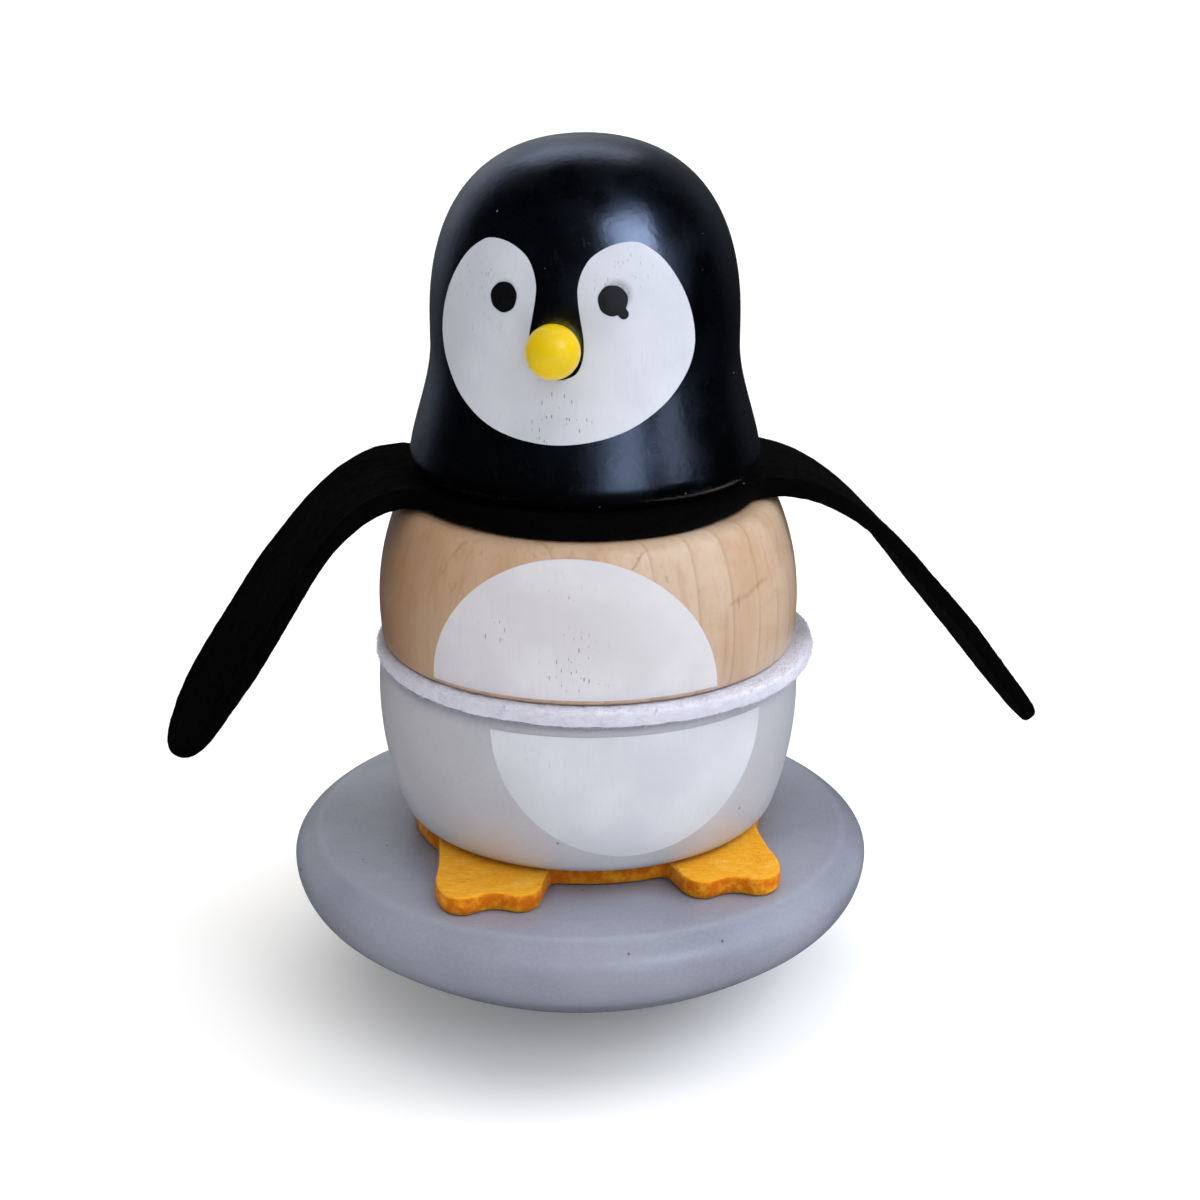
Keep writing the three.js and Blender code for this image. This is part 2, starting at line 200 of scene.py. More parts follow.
def seated(points, seat, height):
    """Points turned about +Z and moved to their seat on the post."""
    turn = math.radians(seat[2])
    x, y, z = np.asarray(points, float).T
    c, s = math.cos(turn), math.sin(turn)
    return np.stack([x * c - y * s + seat[0], x * s + y * c + seat[1], z + height], 1)


def line_bore(made, seat, top=math.inf):
    """The bore's wall, up to a height, is bare wood."""
    made.data.materials.append(plain_wood)
    for face in made.data.polygons:
        off = Vector((face.center.x - seat[0] * MM, face.center.y - seat[1] * MM))
        if off.length < (BORE + 0.6) * MM and face.center.z < top * MM:
            face.material_index = 1


def rough(points, size, seed):
    """Smooth noise from -1 to 1 at points in millimetres, with features of the given size."""
    shift = Vector((seed * 7.3, seed * 3.1, seed * 5.7))
    return np.array([noise.noise(Vector(p) / size + shift) for p in points])


# Shader nodes


class Nodes:
    """A node tree. Each step adds a node and returns its output."""

    def __init__(self, tree):
        self.tree = tree

    def add(self, kind, inputs=None, **settings):
        node = self.tree.nodes.new(kind)
        for key, value in settings.items():
            setattr(node, key, value)
        for key, value in (inputs or {}).items():
            self.feed(node.inputs[key], value)
        return node

    def feed(self, socket, value):
        if isinstance(value, bpy.types.NodeSocket):
            self.tree.links.new(value, socket)
        else:
            socket.default_value = value

    def math(self, operation, a, b=0.0, clamp=False):
        node = self.add("ShaderNodeMath", {0: a, 1: b}, operation=operation, use_clamp=clamp)
        return node.outputs[0]

    def times(self, a, b):
        return self.math("MULTIPLY", a, b)

    def vector(self, operation, *values, result="Vector"):
        node = self.add("ShaderNodeVectorMath", dict(enumerate(values)), operation=operation)
        return node.outputs[result]

    def band(self, value, low, high, start=0.0, end=1.0):
        """A smooth step from start, where the value is low, to end, where it is high."""
        inputs = {0: value, 1: low, 2: high, 3: start, 4: end}
        return self.add("ShaderNodeMapRange", inputs, interpolation_type="SMOOTHSTEP").outputs[0]

    def mix(self, share, a, b, blend="MIX"):
        """Colour a, with a share of colour b."""
        node = self.add("ShaderNodeMix", data_type="RGBA", blend_type=blend)
        self.feed(node.inputs[0], share)
        self.feed(node.inputs[6], a)
        self.feed(node.inputs[7], b)
        return node.outputs[2]


class Look(Nodes):
    """A node material on one Principled shader. Places are read in metres in the piece's frame, and
    scales are features per metre."""

    def __init__(self, name, **constants):
        self.material = bpy.data.materials.new(name)
        self.material.use_nodes = True
        super().__init__(self.material.node_tree)
        self.shader = self.tree.nodes["Principled BSDF"]
        for key, value in constants.items():
            self.shader.inputs[key.replace("_", " ")].default_value = value
        self.place = self.add("ShaderNodeTexCoord").outputs["Object"]
        self.normal = None

    def axis(self, letter):
        return self.add("ShaderNodeSeparateXYZ", {0: self.place}).outputs[letter]

    def stretch(self, scale, turn=(0, 0, 0), move=(0, 0, 0), of=None):
        inputs = {"Vector": of or self.place, "Scale": scale, "Location": move}
        inputs["Rotation"] = [math.radians(t) for t in turn]
        return self.add("ShaderNodeMapping", inputs).outputs[0]

    def noise(self, scale, detail=2.0, roughness=0.5, distortion=0.0, vector=None):
        inputs = {"Vector": vector or self.place, "Scale": scale, "Detail": detail}
        inputs.update(Roughness=roughness, Distortion=distortion)
        return self.add("ShaderNodeTexNoise", inputs).outputs[0]

    def streaks(self, scales, detail, roughness=0.5, distortion=0.0, turn=(0, 0, 0)):
        """Noise with a scale of its own along each axis."""
        return self.noise(1.0, detail, roughness, distortion, self.stretch(scales, turn))

    def wander(self, vector, scale):
        """A noise for each direction, from 0 to 1."""
        inputs = {"Vector": vector, "Scale": scale, "Detail": 3.0}
        return self.add("ShaderNodeTexNoise", inputs).outputs["Color"]

    def specks(self, scale, size, share, vector=None):
        """Round dots in a share of the cells, 1 in a dot and 0 outside."""
        inputs = {"Vector": vector or self.place, "Scale": scale, "Randomness": 1.0}
        cells = self.add("ShaderNodeTexVoronoi", inputs)
        tint = self.add("ShaderNodeSeparateColor", {"Color": cells.outputs["Color"]}).outputs[0]
        chosen = self.math("LESS_THAN", tint, share)
        reach = self.times(tint, size / share)
        inside = self.math("LESS_THAN", cells.outputs["Distance"], reach)
        return self.times(chosen, inside)

    def far_from(self, place):
        """Distance in metres from a place in millimetres."""
        return self.vector("DISTANCE", self.place, [c * MM for c in place], result="Value")

    def off_chain(self, places, sway):
        """Distance in metres from a chain of places in millimetres, which sways a little."""
        shift = self.wander(self.place, 350.0)
        shift = self.vector("MULTIPLY_ADD", shift, (sway * MM,) * 3, (-0.5 * sway * MM,) * 3)
        place = self.vector("ADD", self.place, shift)
        nearest = None
        for a, b in zip(places, places[1:]):
            a, b = Vector(a) * MM, Vector(b) * MM
            run = b - a
            gone = self.vector("SUBTRACT", place, a)
            share = self.vector("DOT_PRODUCT", gone, run / run.length_squared, result="Value")
            share = self.math("MULTIPLY", share, 1.0, clamp=True)
            inputs = {0: run, "Scale": share}
            foot = self.add("ShaderNodeVectorMath", inputs, operation="SCALE").outputs[0]
            far = self.vector("DISTANCE", gone, foot, result="Value")
            nearest = far if nearest is None else self.math("MINIMUM", nearest, far)
        return nearest

    def off_circle(self, radius, height):
        """Distance in metres from a circle about Z, in millimetres."""
        flat = self.vector("MULTIPLY", self.place, (1, 1, 0))
        out = self.math("SUBTRACT", self.vector("LENGTH", flat, result="Value"), radius * MM)
        rise = self.math("SUBTRACT", self.axis("Z"), height * MM)
        squares = self.math("ADD", self.math("POWER", out, 2.0), self.math("POWER", rise, 2.0))
        return self.math("SQRT", squares)

    def bump(self, height, distance, strength):
        inputs = {"Height": height, "Distance": distance * MM, "Strength": strength}
        if self.normal:
            inputs["Normal"] = self.normal
        self.normal = self.add("ShaderNodeBump", inputs).outputs[0]

    def done(self, colour, roughness):
        self.feed(self.shader.inputs["Base Color"], colour)
        self.feed(self.shader.inputs["Roughness"], roughness)
        if self.normal:
            self.feed(self.shader.inputs["Normal"], self.normal)
        return self.material


# Materials


def rgb(red, green, blue):
    """A display colour, 0 to 255, as linear light."""
    parts = [c / 255 for c in (red, green, blue)]
    linear = [c / 12.92 if c <= 0.04045 else ((c + 0.055) / 1.055) ** 2.4 for c in parts]
    return (*linear, 1.0)


CHIPS, UPRIGHT = (300, 0.08, 0.1), (900, 900, 60)


def painted(
    name, tones, bare, roughness, peel=0.015, chipped=CHIPS, lie=UPRIGHT, worn=None, shaded_low=None,
    **constants
):
    """Sprayed satin paint over turned wood, whose grain shows faintly through it.

    The tones are the usual, a deeper and a lighter one. Bare is the colour in chips, which are
    given as cells per metre, size and share, and also the colour of the painted shade. The grain
    lies along the axis with the smallest number. Worn is the radius and height of a circle along
    which a painted highlight lightens the paint, as light catches a rounded crest. The low shade's
    two heights bound a painted shade that darkens the paint downwards; it is weaker on the right,
    where more light falls."""
    look = Look(name, **constants)
    mix, band, times = look.mix, look.band, look.times
    colour, deep, light = (rgb(*t) for t in tones)
    clouds = look.noise(55, 3)
    tone = mix(band(clouds, 0.3, 0.7), deep, colour)
    grain = look.streaks(lie, 3, 0.6, turn=(0, 0, 14))
    tone = mix(band(grain, 0.5, 0.75, 0, 0.4), tone, deep)
    mottle = look.noise(1900, 3, 0.65)
    tone = mix(band(mottle, 0.4, 0.68, 0, 0.2), tone, light)
    chips = look.specks(*chipped)
    tone = mix(times(chips, 0.75), tone, bare)
    scuffs = look.streaks((420, 120, 260), 4, 0.65, turn=(0, 30, 40))
    tone = mix(band(scuffs, 0.66, 0.78, 0, 0.12), tone, light)
    # Painted shade: darker towards the bottom, and less so on the right, where more light falls
    if shaded_low:
        low, high = shaded_low
        painted_shade = band(look.axis("Z"), low * MM, high * MM, 0.3, 0)
        painted_shade = times(painted_shade, band(look.axis("X"), 0, 0.034, 1, 0.35))
        tone = mix(times(painted_shade, band(clouds, 0.2, 0.7, 0.7, 1)), tone, bare)
    # A painted highlight along a circle, where light catches the crest
    if worn:
        painted_highlight = band(look.off_circle(*worn), 0, 1.1 * MM, 0.28, 0)
        tone = mix(times(painted_highlight, band(scuffs, 0.3, 0.6, 0.6, 1)), tone, light)
    look.bump(grain, 0.02, 0.5)
    look.bump(look.noise(900, 3), peel, 0.5)
    look.bump(look.math("SUBTRACT", 1.0, chips), 0.03, 0.6)
    gloss = band(look.noise(160, 3), 0.3, 0.75, roughness - 0.05, roughness + 0.07)
    gloss = look.math("ADD", gloss, band(scuffs, 0.6, 0.75, 0, 0.1))
    return look.done(tone, gloss)


def maple(name, tones, roughness, pith, spacing, veins=(), **constants):
    """Pale maple with its grain along +Z: growth rings about a far pith, flecks, clouds and warm
    streaks. A warmer, darker tone on the left is a painted shade, and a paler band right of the
    front is a painted sheen where light catches the wood. Veins are single dark marks, as places
    along them, half width and strength."""
    light, mid, ring, amber_and_shade, sheen_tone = (rgb(*t) for t in tones)
    look = Look(name, **constants)
    mix, band, times = look.mix, look.band, look.times
    drift = look.wander(look.stretch((14, 14, 9)), 1.0)
    drift = look.vector("MULTIPLY", drift, (0.009, 0.009, 0.0))
    moved = look.vector("ADD", look.place, drift)
    centred = look.stretch((1, 1, 1), (2.5, -4, 0), (-pith[0] * MM, -pith[1] * MM, 0), moved)
    inputs = {"Vector": centred, "Scale": 2 * math.pi / 20 / (spacing * MM)}
    inputs.update({"Distortion": 1.2, "Detail": 2.0, "Detail Scale": 0.6})
    settings = {"wave_type": "RINGS", "rings_direction": "Z", "wave_profile": "SAW"}
    waves = look.add("ShaderNodeTexWave", inputs, **settings).outputs["Fac"]
    clouds = look.streaks((60, 60, 26), 3, 0.55)
    tone = mix(band(clouds, 0.32, 0.68), mid, light)
    aside = look.axis("X")
    # Painted shade: the wood is warmer and darker on the left, where less light falls
    tone = mix(band(aside, -0.033, -0.014, 0.75, 0), tone, amber_and_shade)
    # A painted sheen right of the front, where the light catches the wood
    painted_sheen = times(band(aside, 0, 0.012), band(aside, 0.018, 0.027, 0.55, 0))
    tone = mix(painted_sheen, tone, sheen_tone)
    figure = look.streaks((150, 150, 330), 3, 0.6, 0.5, turn=(0, 12, 0))
    tone = mix(band(figure, 0.45, 0.7, 0, 0.4), tone, mid)
    warm = look.streaks((330, 330, 22), 4, 0.6, 0.3)
    tone = mix(band(warm, 0.5, 0.72, 0, 0.3), tone, amber_and_shade)
    fade = band(look.noise(38, 2), 0.35, 0.62)
    tone = mix(times(band(waves, 0.1, 0.92, 0, 0.22), fade), tone, mid)
    tone = mix(times(band(waves, 0.86, 0.98, 0, 0.3), fade), tone, ring)
    fibre = look.streaks((1500, 1500, 45), 4, 0.6)
    tone = mix(band(fibre, 0.5, 0.8, 0, 0.4), tone, ring, "SOFT_LIGHT")
    flecks = look.streaks((950, 950, 190), 2)
    tone = mix(band(flecks, 0.66, 0.76, 0, 0.3), tone, ring)
    for places, width, strength in veins:
        inside = band(look.off_chain(places, 1.6), 0.2 * width * MM, width * MM, strength, 0)
        tone = mix(times(inside, band(fibre, 0.3, 0.6, 0.5, 1)), tone, ring)
    look.bump(fibre, 0.03, 0.35)
    look.bump(look.noise(420, 2), 0.012, 0.4)
    gloss = band(fibre, 0.3, 0.7, roughness - 0.04, roughness + 0.07)
    return look.done(tone, gloss)


def print_ink(name, tones, pores, roughness, smudges=(), open_at=()):
    """A printed patch: thin ink with faint streaks, and a share of dark pores where the wood opens,
    most of them within a reach of given places. Smudges are grey spots about a place, with a reach
    and a strength. The tones are the ink, worn ink and what lies under it."""
    colour, worn, under = (rgb(*t) for t in tones)
    look = Look(name, Specular_IOR_Level=0.4)
    mix, band, times = look.mix, look.band, look.times
    streaks = look.streaks((1700, 1700, 230), 4, 0.65)
    clouds = look.noise(75, 3)
    tone = mix(band(clouds, 0.3, 0.7), worn, colour)
    tone = mix(band(streaks, 0.5, 0.75, 0, 0.55), tone, worn)
    dots = look.specks(1.0, 0.38, pores, look.stretch((2900, 2900, 750)))
    patchy = band(look.noise(85, 2), 0.6, 0.72, 0, 0.5)
    for place, reach in open_at:
        near = band(look.far_from(place), 0.3 * reach * MM, reach * MM, 1, 0)
        patchy = look.math("MAXIMUM", patchy, near)
    dots = times(dots, patchy)
    tone = mix(times(dots, 0.6), tone, under)
    grit = look.noise(2600, 2)
    for place, reach, strength in smudges:
        near = band(look.far_from(place), 0.55 * reach * MM, reach * MM, strength, 0)
        tone = mix(times(near, band(grit, 0.3, 0.7, 0.65, 1)), tone, under)
    look.bump(streaks, 0.02, 0.4)
    look.bump(look.math("SUBTRACT", 1.0, dots), 0.06, 0.7)
    gloss = band(clouds, 0.3, 0.7, roughness - 0.05, roughness + 0.05)
    return look.done(tone, gloss)


LINT = rgb(150, 148, 150)
STRAND_TURNS = ((0, 0, 12), (35, 0, 75), (-30, 20, 130), (60, 40, 20))


def felt(name, tones, cut, sheen, tint, lint=0.0, depth=1.0):
    """Pressed wool felt: matted fibres that run every way, with soft clumps. Upright cut edges
    take the cut colour, partly the cut felt's own colour and partly a painted shade on the sides
    below a lit top, and a share of lint shows as pale dots."""
    colour, deep, light = (rgb(*t) for t in tones)
    sheens = {"Sheen_Weight": sheen, "Sheen_Roughness": 0.45, "Sheen_Tint": tint}
    look = Look(name, Specular_IOR_Level=0.15, **sheens)
    mix, band, times = look.mix, look.band, look.times
    height = None
    for turn in STRAND_TURNS:
        strands = look.streaks((420, 3200, 3200), 2, 0.6, 0.4, turn)
        height = strands if height is None else look.math("MAXIMUM", height, strands)
    clumps = look.noise(520, 4, 0.65)
    clouds = look.noise(90, 2)
    tone = mix(band(height, 0.5, 0.78), deep, colour)
    tone = mix(band(clumps, 0.5, 0.75, 0, 0.55), tone, light)
    tone = mix(band(clouds, 0.35, 0.7, 0, 0.25), tone, deep)
    # Upright faces take the cut colour: partly the cut edge's own colour, partly painted shade
    facing = look.add("ShaderNodeTexCoord").outputs["Normal"]
    upright = look.add("ShaderNodeSeparateXYZ", {0: facing}).outputs["Z"]
    edge = band(look.math("ABSOLUTE", upright), 0.25, 0.75, 0.85, 0)
    tone = mix(edge, tone, mix(band(clumps, 0.4, 0.7), cut, deep))
    if lint:
        tone = mix(look.specks(420, 0.1, lint), tone, LINT)
    look.bump(clumps, 0.35 * depth, 0.7)
    look.bump(height, 0.14 * depth, 0.8)
    return look.done(tone, band(clumps, 0.3, 0.7, 0.88, 1.0))


grey_paint = painted(
    "grey_paint", tones=((189, 189, 196), (181, 181, 189), (202, 202, 208)), bare=rgb(96, 92, 94),
    roughness=0.36,
)
# The base carries a painted highlight along its crest and a painted shade low down; its bare colour
# tints both the chips and that shade
base_paint = painted(
    "base_paint", tones=((152, 156, 171), (138, 142, 158), (169, 174, 188)), bare=rgb(72, 67, 65),
    roughness=0.42, chipped=(300, 0.1, 0.2), lie=(45, 700, 700), worn=(41.3, 24.55), shaded_low=(8, 24),
    Specular_IOR_Level=0.4, Coat_Weight=0.5, Coat_Roughness=0.22,
)
black_paint = painted(
    "black_paint", tones=((2, 2, 3), (1, 1, 1), (8, 8, 11)), bare=rgb(140, 140, 144),
    roughness=0.27, peel=0.06, chipped=(420, 0.075, 0.3), IOR=2.1, Specular_IOR_Level=0.9,
    Specular_Tint=(0.56, 0.69, 1.0, 1.0),
)
yellow_paint = painted(
    "yellow_paint", tones=((229, 195, 10), (221, 184, 6), (236, 207, 50)), bare=rgb(206, 160, 10),
    roughness=0.27, Specular_IOR_Level=0.5,
)
eye_ink = painted(
    "eye_ink", tones=((13, 13, 16), (9, 9, 11), (40, 40, 44)), bare=rgb(60, 60, 62), roughness=0.36,
)
# The fourth tone colours the warm streaks and the painted shade on the left, the fifth the painted
# sheen
clear_wood = maple(
    "clear_wood",
    tones=((211, 185, 160), (193, 157, 122), (142, 92, 58), (164, 106, 56), (211, 193, 175)),
    roughness=0.42, pith=(58, 34), spacing=5.2,
    veins=[([on_upper(*p) for p in marks], width, strength) for marks, width, strength in VEINS],
    Coat_Weight=1.0, Coat_Roughness=0.4,
)
plain_wood = maple(
    "plain_wood",
    tones=((228, 204, 168), (216, 186, 146), (164, 118, 78), (210, 178, 136), (230, 207, 172)),
    roughness=0.62, pith=(-26, 31), spacing=3.1,
)
orange_felt = felt(
    "orange_felt", tones=((251, 195, 62), (241, 164, 32), (253, 210, 106)), cut=rgb(206, 92, 2),
    sheen=0.2, tint=rgb(255, 220, 150),
)
# The belt's darker cut colour is a painted shade on its lower edge
pale_felt = felt(
    "pale_felt", tones=((235, 234, 246), (217, 216, 229), (245, 244, 252)), cut=rgb(213, 212, 226),
    sheen=0.25, tint=rgb(240, 240, 250), depth=0.7,
)
black_felt = felt(
    "black_felt", tones=((2, 2, 2), (1, 1, 1), (5, 5, 6)), cut=rgb(2, 2, 2), sheen=0.005,
    tint=rgb(120, 118, 128), lint=0.05,
)
face_ink = print_ink(
    "face_ink", tones=((208, 212, 221), (194, 198, 208), (60, 56, 58)), pores=0.4, roughness=0.42,
    smudges=EYE_SMUDGES, open_at=FACE_PORES,
)
belly_ink = print_ink(
    "belly_ink", tones=((221, 219, 223), (207, 204, 209), (92, 74, 62)), pores=0.4, roughness=0.42,
    open_at=BELLY_PORES,
)
pale_ink = print_ink(
    "pale_ink", tones=((216, 219, 226), (202, 205, 213), (160, 161, 171)), pores=0.18,
    roughness=0.4,
)


# Turned wood

TURN, SMALL_TURN = 192, 64


def base_rows():
    widest, inside = BASE_HEIGHT - BASE_EDGE, BASE_RADIUS - BASE_SIDE
    share = widest**2 - BASE_SIDE**2
    half = (inside**2 + widest**2 - BASE_SPOT**2 - BASE_SIDE**2) / 2
    centre = (half * widest + BASE_SIDE * math.sqrt(half**2 + BASE_SPOT**2 * share)) / share
    dome = math.hypot(BASE_SPOT, centre)
    meeting = math.atan2(widest - centre, inside)
    # The edge turns fast out of the flat top and slower down to the widest place
    rim = [(BASE_RADIUS, widest), (BASE_RADIUS, widest + 1.9), (42.7, 23.9), CREST_OUTSIDE]
    hole = BASE_HEIGHT - POST_HOLE_DEPTH
    return profile(
        [(0, 0)],
        line((0, 0), (BASE_SPOT, 0), 6),
        arc((0, centre), dome, math.atan2(-centre, BASE_SPOT), meeting, 40),
        arc((inside, widest), BASE_SIDE, meeting, 0, 26),
        bezier(rim, 22),
        bezier([CREST_OUTSIDE, (41.1, BASE_HEIGHT), CREST_INSIDE], 10),
        line(CREST_INSIDE, (POST_HOLE, BASE_HEIGHT), 10),
        [(POST_HOLE, hole), (0, hole)],
    )


def post_rows():
    shoulder = POST_TOP - POST_ROUND
    top = [(POST_RADIUS, shoulder), (POST_RADIUS, POST_TOP), (POST_RADIUS - POST_ROUND, POST_TOP)]
    return profile(
        [(0, POST_LOW), (POST_RADIUS, POST_LOW)],
        line((POST_RADIUS, POST_LOW), (POST_RADIUS, shoulder), 12),
        bezier(top, 9),
        [(0, POST_TOP)],
    )


def barrel(ring):
    """The outside of a ring: one arc, with a rounded foot and shoulder."""
    centre = ring.radius - ring.side
    shoulder = ring.height - ring.shoulder

    def angle(z):
        return math.asin((z - ring.widest) / ring.side)

    def at(z):
        return centre + ring.side * math.cos(angle(z))

    foot_in, top_in = at(0) - ring.foot, at(ring.height) - ring.shoulder
    side = arc((centre, ring.widest), ring.side, angle(ring.foot), angle(shoulder), 40)
    top = [(at(shoulder), shoulder), (at(ring.height), ring.height), (top_in, ring.height)]
    bottom = line((BORE + BORE_EDGE, 0), (foot_in, 0), 6)
    foot = bezier([(foot_in, 0), (at(0), 0), (at(ring.foot), ring.foot)], 9)
    return np.vstack([bottom, foot, side, bezier(top, 10)])


def bored(ring):
    """A ring's profile: its outside, from bottom to top, closed round a bore with broken edges."""
    top = ring.height - BORE_EDGE
    low = [(BORE, top), (BORE, BORE_EDGE), (BORE + BORE_EDGE, 0)]
    high = [(BORE + BORE_EDGE, ring.height), (BORE, top)]
    return profile(low, barrel(ring), high)


def head_outside():
    pull = (NECK_FROM - HEAD_FOOT_ROUND) / 3
    foot_in = HEAD_FOOT - HEAD_FOOT_ROUND
    flare = [
        (HEAD_FOOT, HEAD_FOOT_ROUND),
        (HEAD_FOOT - (HEAD_FOOT - NECK) / 4, HEAD_FOOT_ROUND + pull),
        (NECK, NECK_FROM - pull),
        (NECK, NECK_FROM),
    ]
    dome = [(NECK, NECK_TO), (NECK, NECK_TO + 17), (14.5, HEAD_HEIGHT), (0, HEAD_HEIGHT)]
    bottom = line((BORE + BORE_EDGE, 0), (foot_in, 0), 6)
    foot = bezier([(foot_in, 0), (HEAD_FOOT, 0), (HEAD_FOOT, HEAD_FOOT_ROUND)], 12)
    return np.vstack([bottom, foot, bezier(flare, 28), bezier(dome, 56)])


def head_rows():
    top = HEAD_BORE_DEPTH
    bore = [(0, top), (BORE, top), (BORE, BORE_EDGE), (BORE + BORE_EDGE, 0)]
    return profile(bore, head_outside())


def turned(name, rows, seat, height, *finish):
    """A piece from a profile, moved to its seat. The finish is what piece takes after the faces."""
    points, faces = revolved(rows, TURN)
    return piece(name, seated(points, seat, height), faces, *finish)


turned("base", base_rows(), (0, 0, 0), 0, base_paint, "base", ["rocker_base"], "grey_paint")
points, faces = revolved(post_rows(), SMALL_TURN)
piece("dowel", points, faces, plain_wood, "base", ["post"], "plain_wood")
for name, ring, height, *finish in (
    ("lower_ring", LOWER, LOWER_Z, grey_paint, "lower", ["lower_body"], "grey_paint"),
    ("upper_ring", UPPER, UPPER_Z, clear_wood, "upper", ["upper_body"], "clear_wood"),
):
    line_bore(turned(name, bored(ring), BODY_SEAT, height, *finish), BODY_SEAT)
finish = (black_paint, "head", ["head"], "black_paint")
head = turned("head_cap", head_rows(), HEAD_SEAT, HEAD_Z, *finish)
line_bore(head, HEAD_SEAT, HEAD_Z + HEAD_BORE_DEPTH + 0.5)

peg_end = -NOSE_RADIUS - NOSE_LENGTH
ball = arc((0, 0), NOSE_RADIUS, -math.acos(NOSE_PEG / NOSE_RADIUS), math.pi / 2, 40)
ball[-1, 0] = 0
points, faces = revolved(profile([(0, peg_end), (NOSE_PEG, peg_end)], ball), SMALL_TURN)
points = np.stack([points[:, 0], -NOSE_REACH - points[:, 2], NOSE_HEIGHT + points[:, 1]], 1)
points = seated(points, HEAD_SEAT, HEAD_Z)
piece("nose_ball", points, faces, yellow_paint, "head", ["nose"], "yellow_paint")


# Prints: thin layers of ink that follow a turned side

INK = 0.05
NET_PITCH = 0.55
DEGREE = 0.4


def side_of(rows):
    """Radius of a turned side at a height, and the outward slope there, from its profile."""
    rising = rows[np.argsort(rows[:, 1], kind="stable")]
    slope = np.gradient(rising[:, 0]) / np.maximum(np.gradient(rising[:, 1]), 1e-6)
    return rising[:, 1], rising[:, 0], slope


def ink_layer(
    name, outline, side, seat, height, material, body, slot, turn=0, lift=INK, across="arc"
):
    """A closed outline, filled with a fine net and laid on a turned side. Its first number is an
    angle in degrees, or with across "flat" a distance seen from the front."""
    heights, radii, slopes = side
    outline = np.asarray(outline, float)
    unit = DEGREE if across == "arc" else 1.0
    loop = outline * (unit, 1)
    low, high = loop.min(0), loop.max(0)
    steps = [np.arange(low[k], high[k], NET_PITCH) for k in (0, 1)]
    inner = [Vector(p) for p in np.stack(np.meshgrid(*steps), -1).reshape(-1, 2)]
    edge = [Vector(p) for p in loop]
    count = len(edge)
    net, _, faces, *_ = geometry.delaunay_2d_cdt(edge + inner, [], [list(range(count))], 1, 1e-4)
    flat = np.array([tuple(p) for p in net]) / (unit, 1)

    def laid(rows, above):
        z = rows[:, 1]
        radius = np.interp(z, heights, radii)
        slope = np.interp(z, heights, slopes)
        angle = np.radians(rows[:, 0]) if across == "arc" else np.arcsin(rows[:, 0] / radius)
        angle = angle + math.radians(turn)
        tall = np.sqrt(1 + slope**2)
        out = radius + above / tall
        up = z - above * slope / tall
        return np.stack([out * np.sin(angle), -out * np.cos(angle), up], 1)

    faces = [list(f) for f in faces]
    start = len(flat)
    for k in range(count):
        n = (k + 1) % count
        faces.append([start + n, start + k, start + count + k, start + count + n])
    points = np.vstack([laid(flat, lift), laid(outline, lift), laid(outline, -INK)])
    return piece(name, seated(points, seat, height), faces, material, body, (), slot)


def closed_curve(points, steps):
    """A smooth closed curve through points."""
    rows = np.asarray(points, float)
    t = np.linspace(0, 1, steps, endpoint=False)[:, None]
    made = []
    for k in range(len(rows)):
        a, b, c, d = (rows[(k + i) % len(rows)] for i in (-1, 0, 1, 2))
        square = (2 * a - 5 * b + 4 * c - d) * t**2
        cube = (3 * b - a - 3 * c + d) * t**3
        made.append(0.5 * (2 * b + (c - a) * t + square + cube))
    return np.vstack(made)


# The face's right half, from the chin round the cheek and over the brow to under the nose:
# angle from the nose, and height above the head's foot
HALF_FACE = [
    (0, 9.5), (13, 10.05), (25, 11.5), (37, 14.1), (45, 16.7), (50, 19.3),
    (52.1, 22.4), (51, 26.1), (47.3, 30.1), (41, 33.9), (34, 36), (28, 36.6),
    (20, 36.2), (13, 34.9), (9.4, 33.2), (7.6, 31.1), (7.6, 29.1), (8.5, 26.6),
    (9.6, 23.8), (9.4, 21.3), (7.4, 19.3), (3.6, 18.4), (0, 18.2),
]
# The sides that carry prints, without the rows of their feet and tops
head_side = side_of(head_outside()[18:-1])
upper_side = side_of(barrel(UPPER)[6:-9])
lower_side = side_of(barrel(LOWER)[6:-8])

other_half = [(-a, z) for a, z in HALF_FACE[-2:0:-1]]
face = closed_curve(HALF_FACE + other_half, 12)
ink_layer("face_print", face, head_side, HEAD_SEAT, HEAD_Z, face_ink, "head", "black_paint")

# A drop of ink ran out of the right eye: a small disc at its lower right
DROP_ANGLE, DROP_OFF = -52, 2.35
EYE_DEGREE = 0.385
around = np.linspace(0, 2 * math.pi, 120, endpoint=False)
for name, sign, drop in (("left_eye", -1, 0.0), ("right_eye", 1, 0.72)):
    reach = EYE_RADIUS * (1 + 0.02 * np.sin(3 * around + sign) + 0.012 * np.sin(7 * around))
    off = around - math.radians(DROP_ANGLE)
    inside = drop**2 - (DROP_OFF * np.sin(off)) ** 2
    ran = DROP_OFF * np.cos(off) + np.sqrt(np.maximum(inside, 0))
    reach = np.maximum(reach, np.where((inside > 0) & (np.cos(off) > 0), ran, 0))
    reach = (np.roll(reach, 1) + 2 * reach + np.roll(reach, -1)) / 4
    across = sign * EYE_ANGLE + reach * np.cos(around) / EYE_DEGREE
    eye = np.stack([across, EYE_HEIGHT + reach * np.sin(around)], 1)
    place = (head_side, HEAD_SEAT, HEAD_Z)
    ink_layer(name, eye, *place, eye_ink, "head", "black_paint", lift=2 * INK)

